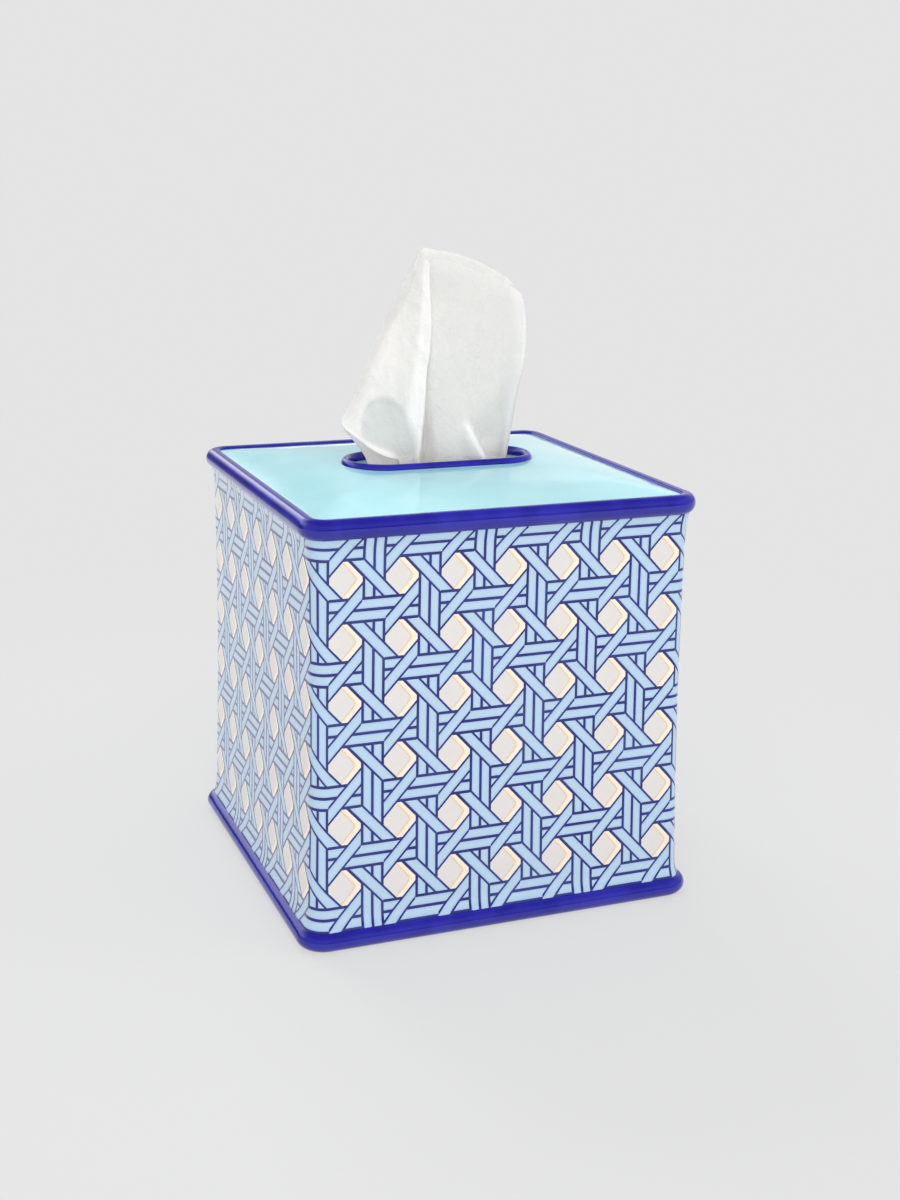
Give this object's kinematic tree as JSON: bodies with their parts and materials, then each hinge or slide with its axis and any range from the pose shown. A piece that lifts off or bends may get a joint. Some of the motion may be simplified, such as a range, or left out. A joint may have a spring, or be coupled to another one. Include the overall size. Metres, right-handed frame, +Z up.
{
  "type": "tissue box cover",
  "caption": "Square glazed ceramic cover for an upright carton of tissues, with cane-work sides, a domed top and a long slot for the tissue.",
  "frame": {"origin": "on the table, in the middle of the cover's square foot", "axes": "+Z up; +X along the slot, to the right seen from the front; -Y towards the front"},
  "size_m": [0.1402, 0.1402, 0.2188],
  "materials": {
    "cobalt_glaze": "gloss",
    "cane_glaze": "gloss",
    "aqua_glaze": "gloss",
    "white_board": "matte",
    "clear_film": "gloss",
    "tissue_paper": "matte"
  },
  "bodies": {
    "carton": {"carton_sleeve": "white_board", "glue_flap": "white_board", "carton_top": "white_board", "top_dust_flap_left": "white_board", "top_dust_flap_right": "white_board", "bottom_outer_flap": "white_board", "bottom_inner_flap": "white_board", "bottom_dust_flap_left": "white_board", "bottom_dust_flap_right": "white_board", "slit_film": "clear_film", "tissue_clip": "tissue_paper", "next_tissue": "tissue_paper"},
    "cover": {"base_rim": "cobalt_glaze", "wall_shell": "cane_glaze", "top_rim": "cobalt_glaze", "top_panel": "aqua_glaze", "slot_bead": "cobalt_glaze"},
    "tissue": {"popup_tissue": "tissue_paper"}
  },
  "joints": [
    {"name": "cover_lift", "type": "slide", "parent": "carton", "child": "cover", "axis": [0, 0, 1], "range_m": [0, 0.225]},
    {"name": "tissue_pull", "type": "slide", "parent": "carton", "child": "tissue", "axis": [0, 0, 1], "range_m": [0, 0.1]}
  ]
}
